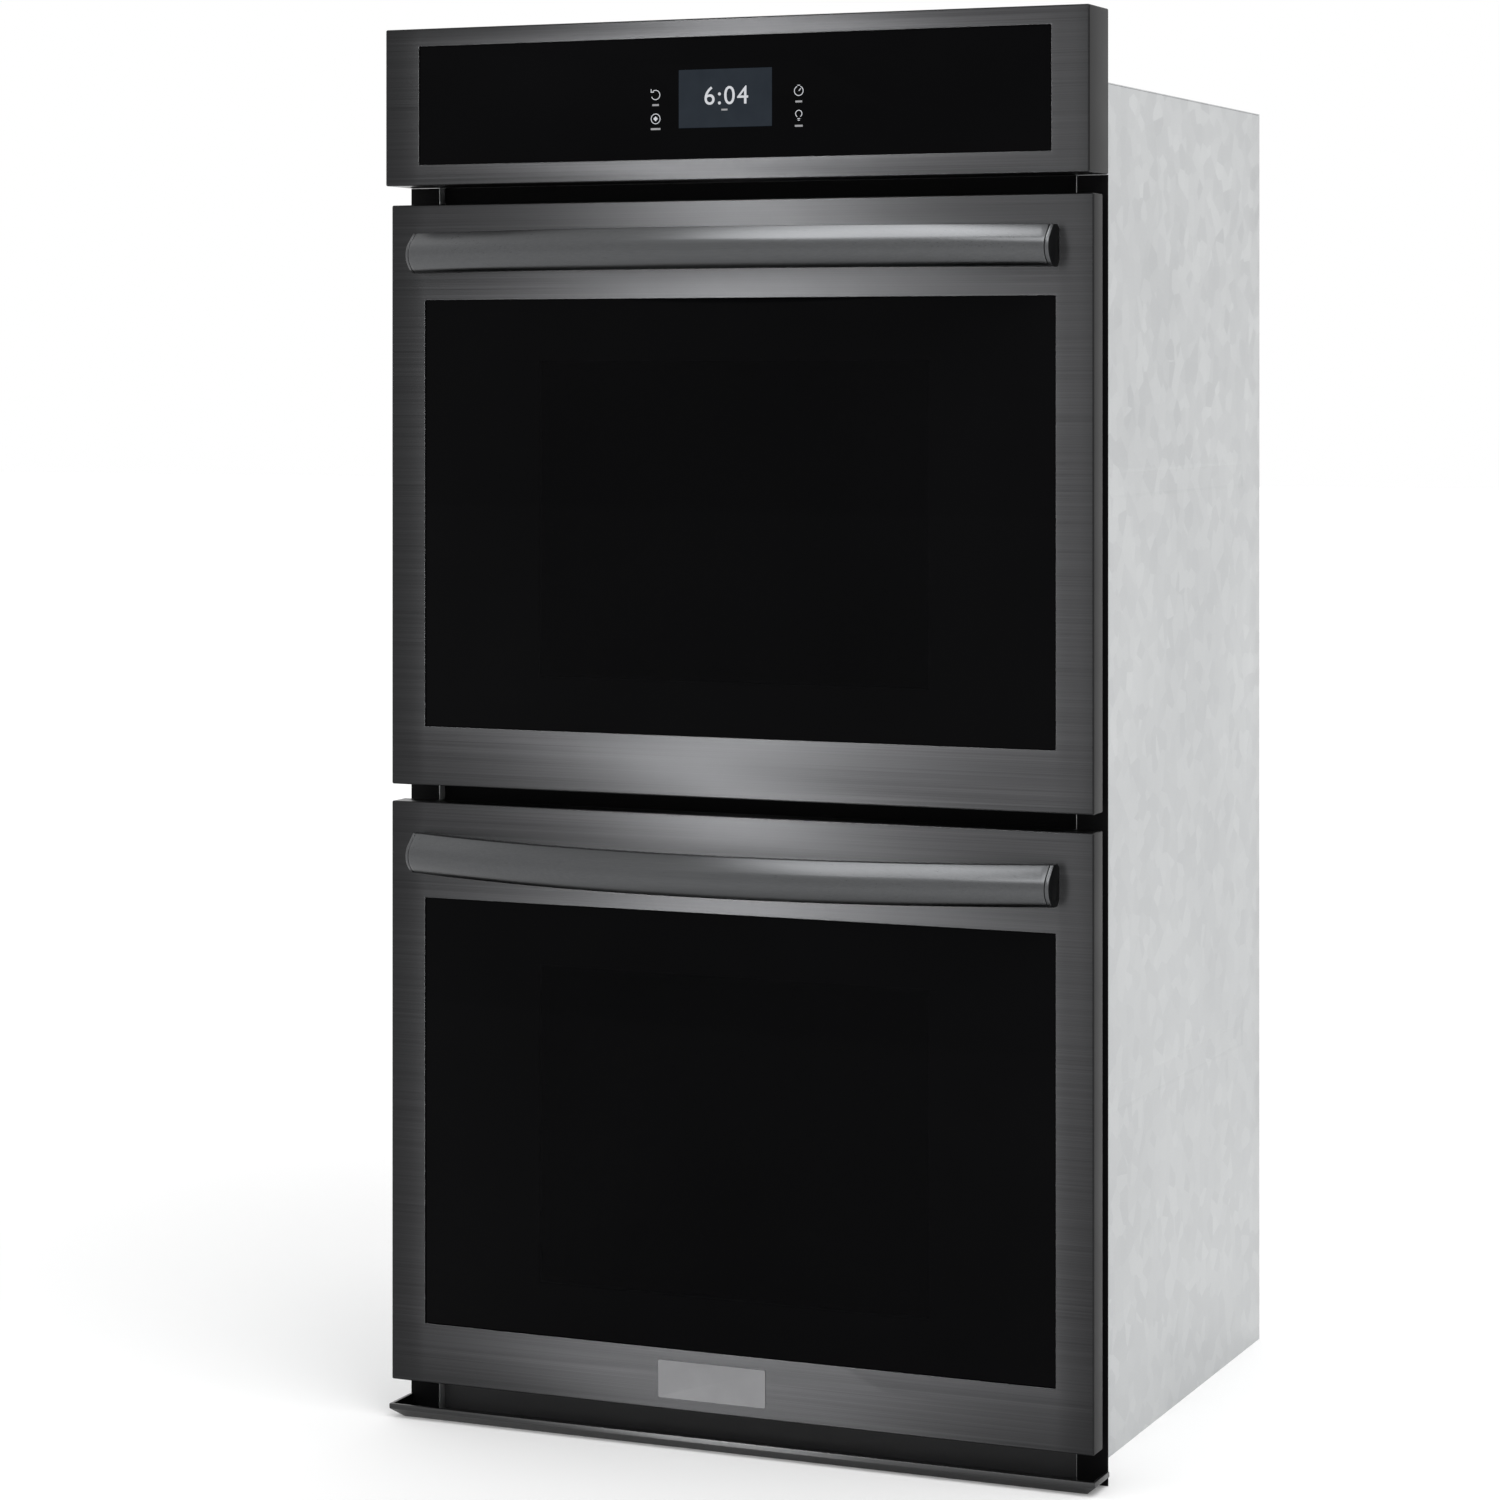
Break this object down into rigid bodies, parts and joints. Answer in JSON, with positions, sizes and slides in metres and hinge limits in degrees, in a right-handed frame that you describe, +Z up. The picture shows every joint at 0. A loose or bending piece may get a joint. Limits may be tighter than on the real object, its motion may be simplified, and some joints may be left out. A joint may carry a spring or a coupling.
{
  "type": "built-in double wall oven",
  "caption": "Built-in wall oven with stacked cavities, drop-down glass doors with bowed bar handles, a glass control panel above and a trim below.",
  "frame": {"origin": "underside of the base, midway across, where the cabinet's face plane crosses it", "axes": "+X to the right of someone facing the doors, +Y back into the cabinet, +Z up"},
  "size_m": [0.689, 0.7071, 1.29],
  "materials": {
    "black_stainless": "dark horizontally brushed stainless steel with a clear coat",
    "dark_glass": "black-backed toughened glass",
    "clear_glass": "clear toughened glass",
    "display": "lit display with white numerals",
    "galvanised": "galvanised sheet steel",
    "black_sheet": "semi-matt black painted sheet",
    "enamel": "dark speckled vitreous enamel",
    "chrome_wire": "bright plated wire",
    "element": "dull heating element sheath",
    "steel": "plain steel",
    "fan_metal": "pressed sheet",
    "wool": "glass wool blanket",
    "gasket": "woven glass fibre seal",
    "lamp_glass": "clear borosilicate lens",
    "ceramic": "white ceramic and glass bulb",
    "board": "circuit board",
    "plate_metal": "satin metal plate",
    "window_metal": "dark sheet reveal"
  },
  "bodies": {
    "root": {"base_pan": "black_sheet", "chassis_side_left": "galvanised", "chassis_side_right": "galvanised", "chassis_back": "galvanised", "chassis_top": "galvanised", "duct_decks": "black_sheet", "side_flange_left": "black_sheet", "side_flange_right": "black_sheet", "bottom_trim": "black_stainless", "vent_grilles": "black_sheet", "chassis_screws": "steel", "control_panel_frame": "black_stainless", "control_glass": "dark_glass", "display_module": "display", "circuit_boards": "board", "junction_box": "galvanised", "blower_housing": "galvanised", "blower_motor": "steel", "cavity_insulation": "wool", "bake_elements": "element", "broil_elements": "element", "convection_elements": "element", "fan_covers": "enamel", "convection_motors": "steel", "lamp_bulbs": "ceramic", "lamp_lenses": "lamp_glass", "temperature_probes": "steel", "door_gaskets": "gasket", "hinge_receivers": "steel", "latch_motors": "steel", "upper_cavity": "enamel", "lower_cavity": "enamel"},
    "blower_wheel": {"blower_wheel": "fan_metal"},
    "lower_door": {"name_plate": "plate_metal", "lower_door_skin": "black_stainless", "lower_door_outer_glass": "dark_glass", "lower_door_liner": "enamel", "lower_door_window_frame": "window_metal", "lower_door_glass_pack": "clear_glass", "lower_door_hinge_arms": "steel", "lower_handle_bar": "black_stainless", "lower_handle_ends": "black_stainless", "lower_handle_screws": "steel"},
    "upper_fan": {"upper_fan": "fan_metal"},
    "upper_latch_hook": {"upper_latch_hook": "steel"},
    "upper_rack_low": {"upper_rack_low": "chrome_wire"},
    "upper_rack_high": {"upper_rack_high": "chrome_wire"},
    "upper_door": {"upper_door_skin": "black_stainless", "upper_door_outer_glass": "dark_glass", "upper_door_liner": "enamel", "upper_door_window_frame": "window_metal", "upper_door_glass_pack": "clear_glass", "upper_door_hinge_arms": "steel", "upper_handle_bar": "black_stainless", "upper_handle_ends": "black_stainless", "upper_handle_screws": "steel"},
    "lower_fan": {"lower_fan": "fan_metal"},
    "lower_latch_hook": {"lower_latch_hook": "steel"},
    "lower_rack_low": {"lower_rack_low": "chrome_wire"},
    "lower_rack_high": {"lower_rack_high": "chrome_wire"}
  },
  "joints": [
    {"name": "upper_door_hinge", "type": "hinge", "parent": "root", "child": "upper_door", "pos_m": [0, -0.022, 0.6035], "axis": [1, 0, 0], "range_deg": [0, 90], "stiffness_Nm_per_rad": 8, "springref_deg": -17.19},
    {"name": "upper_rack_low_slide", "type": "slide", "parent": "root", "child": "upper_rack_low", "axis": [0, -1, 0], "range_m": [0, 0.03]},
    {"name": "upper_rack_high_slide", "type": "slide", "parent": "root", "child": "upper_rack_high", "axis": [0, -1, 0], "range_m": [0, 0.03]},
    {"name": "upper_fan_spin", "type": "hinge", "parent": "root", "child": "upper_fan", "pos_m": [0, 0.47, 0.8505], "axis": [0, 1, 0], "continuous": true},
    {"name": "upper_latch_turn", "type": "hinge", "parent": "root", "child": "upper_latch_hook", "pos_m": [0.012, 0.022, 1.1097], "axis": [0, 0, -1], "range_deg": [0, 25]},
    {"name": "lower_door_hinge", "type": "hinge", "parent": "root", "child": "lower_door", "pos_m": [0, -0.022, 0.0497], "axis": [1, 0, 0], "range_deg": [0, 90], "stiffness_Nm_per_rad": 8, "springref_deg": -17.19},
    {"name": "lower_rack_low_slide", "type": "slide", "parent": "root", "child": "lower_rack_low", "axis": [0, -1, 0], "range_m": [0, 0.03]},
    {"name": "lower_rack_high_slide", "type": "slide", "parent": "root", "child": "lower_rack_high", "axis": [0, -1, 0], "range_m": [0, 0.03]},
    {"name": "lower_fan_spin", "type": "hinge", "parent": "root", "child": "lower_fan", "pos_m": [0, 0.47, 0.2967], "axis": [0, 1, 0], "continuous": true},
    {"name": "lower_latch_turn", "type": "hinge", "parent": "root", "child": "lower_latch_hook", "pos_m": [0.012, 0.022, 0.5559], "axis": [0, 0, -1], "range_deg": [0, 25]},
    {"name": "blower_spin", "type": "hinge", "parent": "root", "child": "blower_wheel", "pos_m": [0, 0.38, 1.17], "axis": [0, 0, 1], "continuous": true}
  ]
}
